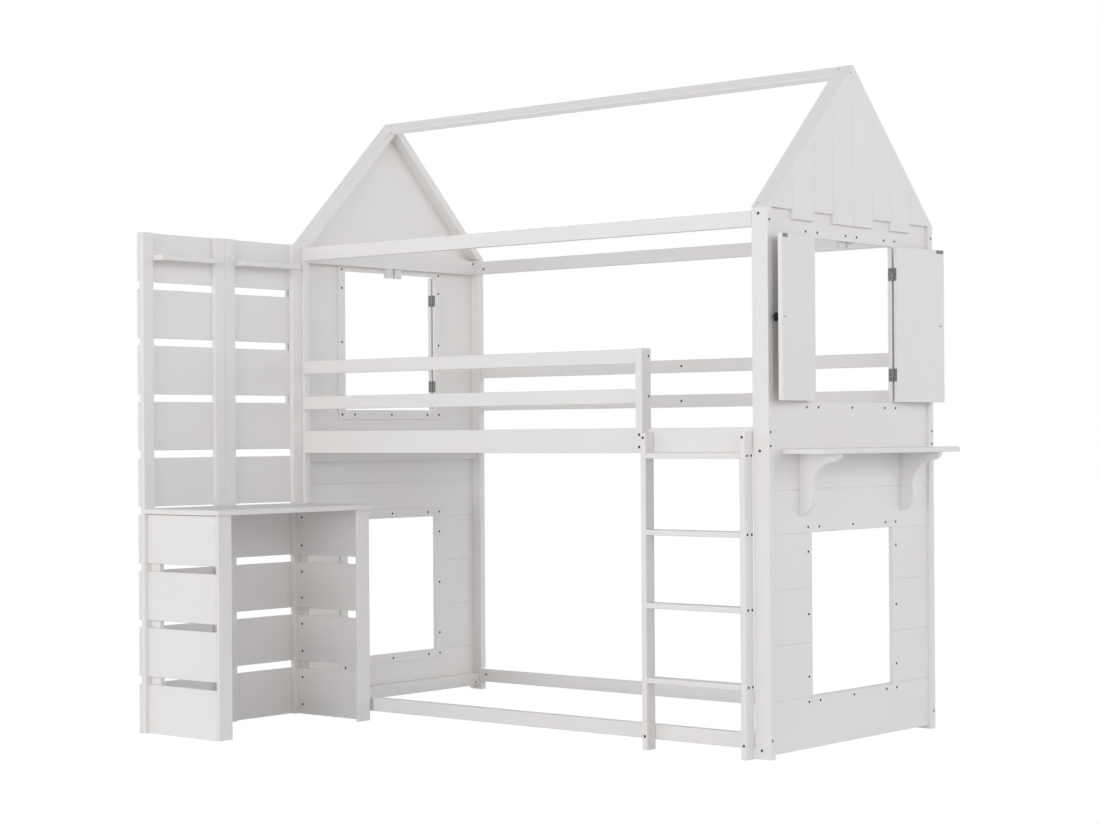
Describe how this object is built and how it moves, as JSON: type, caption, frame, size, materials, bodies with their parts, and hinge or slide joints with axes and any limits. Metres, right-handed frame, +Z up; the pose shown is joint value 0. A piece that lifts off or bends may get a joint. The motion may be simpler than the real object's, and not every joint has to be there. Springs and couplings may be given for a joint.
{
  "type": "loft bed",
  "caption": "White wooden loft bed shaped like a small house, with an upper and a floor bunk, a ladder, a desk with a slatted wall, a shelf and shuttered windows.",
  "frame": {"origin": "on the floor, under the middle of the whole object's bounding box", "axes": "+X along the bed towards the shelf end, +Y from the ladder side to the back, +Z up"},
  "size_m": [2.253, 1.698, 2.154],
  "materials": {
    "white_wood": "satin white paint",
    "steel": "plated",
    "black_metal": "satin",
    "dark_metal": "satin",
    "white_plastic": "matte"
  },
  "bodies": {
    "frame": {"post_front_left": "white_wood", "gable_front_left": "white_wood", "rafter_front_left": "white_wood", "post_back_left": "white_wood", "gable_back_left": "white_wood", "rafter_back_left": "white_wood", "post_front_right": "white_wood", "gable_front_right": "white_wood", "rafter_front_right": "white_wood", "post_back_right": "white_wood", "gable_back_right": "white_wood", "rafter_back_right": "white_wood", "eave_rail_front": "white_wood", "side_rail_front": "white_wood", "bottom_rail_front": "white_wood", "guard_rails_front": "white_wood", "eave_rail_back": "white_wood", "side_rail_back": "white_wood", "bottom_rail_back": "white_wood", "guard_rails_back": "white_wood", "end_rails_left": "white_wood", "upper_panel_left": "white_wood", "lower_panel_left": "white_wood", "window_trims_left": "white_wood", "hinge_leaves_left": "steel", "end_rails_right": "white_wood", "upper_panel_right": "white_wood", "lower_panel_right": "white_wood", "window_trims_right": "white_wood", "hinge_leaves_right": "steel", "guard_post": "white_wood", "ridge_board": "white_wood", "shelf": "white_wood", "shelf_brackets": "white_wood", "ladder_rails": "white_wood", "ladder_treads": "white_wood", "slat_cleats": "white_wood", "bed_slats": "white_wood", "wall_boards": "white_wood", "wall_stiles": "white_wood", "wall_ledges": "white_wood", "desktop": "white_wood", "desk_side_boards": "white_wood", "desk_frame": "white_wood", "magnetic_catches": "white_plastic", "post_bolts": "dark_metal", "ladder_and_guard_bolts": "dark_metal", "roof_bolts": "dark_metal"},
    "shutter_front_left": {"shutter_front_left": "white_wood", "knob_front_left": "black_metal", "shutter_fittings_front_left": "steel"},
    "shutter_back_left": {"shutter_back_left": "white_wood", "knob_back_left": "black_metal", "shutter_fittings_back_left": "steel"},
    "shutter_front_right": {"shutter_front_right": "white_wood", "knob_front_right": "black_metal", "shutter_fittings_front_right": "steel"},
    "shutter_back_right": {"shutter_back_right": "white_wood", "knob_back_right": "black_metal", "shutter_fittings_back_right": "steel"}
  },
  "joints": [
    {"name": "shutter_front_left_hinge", "type": "hinge", "parent": "frame", "child": "shutter_front_left", "pos_m": [-1.07067, 0.12315, 1.337], "axis": [0, 0, 1], "range_deg": [-171, 1.5]},
    {"name": "shutter_back_left_hinge", "type": "hinge", "parent": "frame", "child": "shutter_back_left", "pos_m": [-1.07067, 0.60685, 1.337], "axis": [0, 0, -1], "range_deg": [-171, 1.5]},
    {"name": "shutter_front_right_hinge", "type": "hinge", "parent": "frame", "child": "shutter_front_right", "pos_m": [0.97373, 0.12315, 1.337], "axis": [0, 0, -1], "range_deg": [-171, 1.5]},
    {"name": "shutter_back_right_hinge", "type": "hinge", "parent": "frame", "child": "shutter_back_right", "pos_m": [0.97373, 0.60685, 1.337], "axis": [0, 0, 1], "range_deg": [-171, 1.5]}
  ]
}
